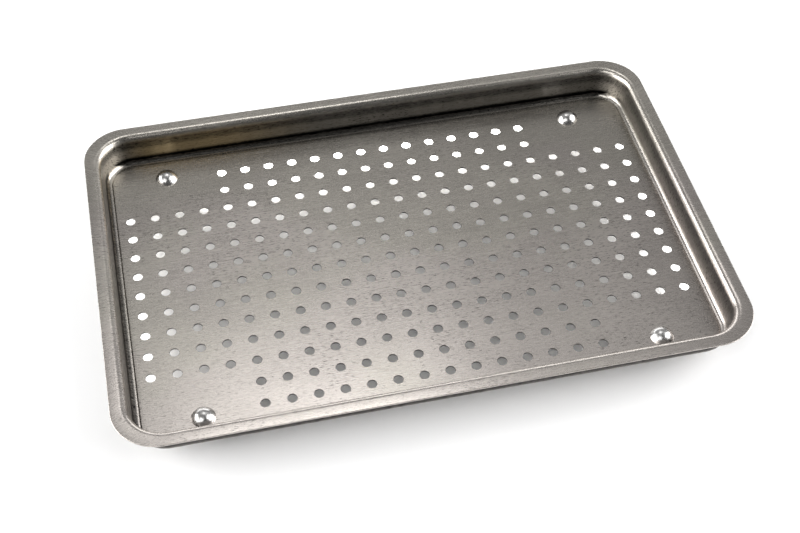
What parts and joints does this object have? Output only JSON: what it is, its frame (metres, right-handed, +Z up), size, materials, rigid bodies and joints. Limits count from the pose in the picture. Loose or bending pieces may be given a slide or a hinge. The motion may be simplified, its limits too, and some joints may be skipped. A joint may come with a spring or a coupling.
{
  "type": "perforated tray",
  "caption": "Shallow drawn metal tray with a flat turned-out rim, coved floor punched in a square lattice, and domed rivets holding short feet.",
  "frame": {"origin": "middle of the tray in plan, on the surface that the feet stand on", "axes": "+X along the long side, +Y to the rear, +Z up out of the tray"},
  "size_m": [0.306, 0.2036, 0.0273],
  "materials": {
    "sheet": "fine brushed grain along the long side, handled, lightly pitted",
    "rivet": "polished domed head",
    "foot": "turned",
    "washer": "pressed, tumbled"
  },
  "bodies": {
    "root": {"pan": "sheet", "rivet_rear_left": "rivet", "foot_rear_left": "foot", "rivet_washer_rear_left": "washer", "rivet_rear_right": "rivet", "foot_rear_right": "foot", "rivet_washer_rear_right": "washer", "rivet_front_left": "rivet", "foot_front_left": "foot", "rivet_washer_front_left": "washer", "rivet_front_right": "rivet", "foot_front_right": "foot", "rivet_washer_front_right": "washer"}
  },
  "joints": []
}
